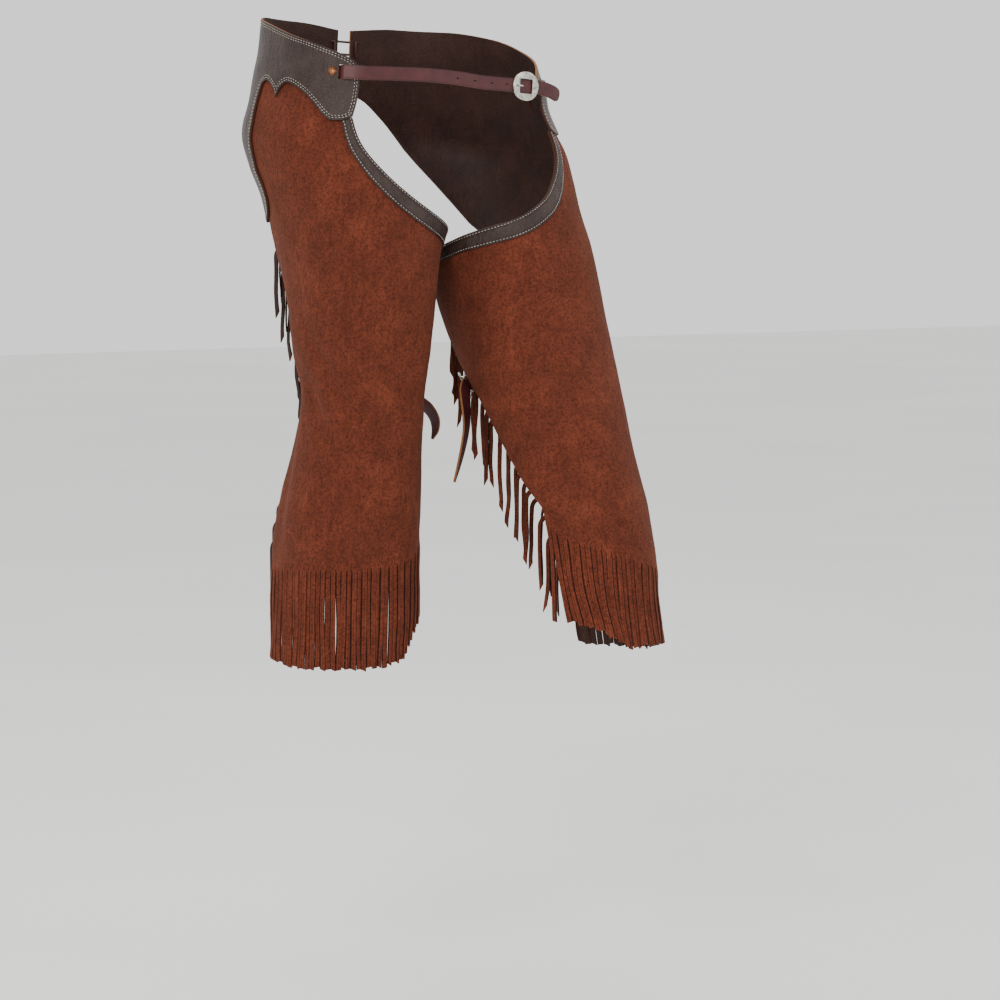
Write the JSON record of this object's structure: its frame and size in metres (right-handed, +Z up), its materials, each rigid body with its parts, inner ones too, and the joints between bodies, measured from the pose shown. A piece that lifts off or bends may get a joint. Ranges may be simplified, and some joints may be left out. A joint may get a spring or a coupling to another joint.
{
  "type": "leather chaps",
  "caption": "Knee-length fringed leather chaps held in their hollow worn form, with scalloped yokes, a buckled front strap and buckled thigh straps.",
  "frame": {"origin": "centre of the waist, at the height of the front strap", "axes": "+Z up, the wearer faces -Y and the wearer's left is +X"},
  "size_m": [0.3958, 0.4455, 0.7554],
  "materials": {
    "suede": "napped rust suede",
    "fringe": "napped rust suede, cut in strands",
    "grain_leather": "pebbled chocolate grain with a soft sheen",
    "latigo": "waxed maroon strap leather",
    "copper": "worn copper",
    "nickel_silver": "worn, lightly scratched"
  },
  "bodies": {
    "root": {"leg_panel_right": "suede", "leg_panel_left": "suede", "hem_fringe_right": "fringe", "hem_fringe_left": "fringe", "back_fringe_right": "fringe", "back_fringe_left": "fringe", "yoke_right": "grain_leather", "yoke_left": "grain_leather", "front_binding_right": "grain_leather", "front_binding_left": "grain_leather", "front_strap": "latigo", "front_tab": "latigo", "back_lace": "latigo", "thigh_strap_right": "latigo", "thigh_strap_left": "latigo", "thigh_tab_right": "latigo", "thigh_tab_left": "latigo", "rivet_right_1": "copper", "rivet_right_2": "copper", "rivet_right_3": "copper", "rivet_left_1": "copper", "rivet_left_2": "copper", "front_buckle": "nickel_silver", "front_prong": "nickel_silver", "thigh_buckle_right": "nickel_silver", "thigh_buckle_left": "nickel_silver", "thigh_prong_right": "nickel_silver", "thigh_prong_left": "nickel_silver"}
  },
  "joints": []
}
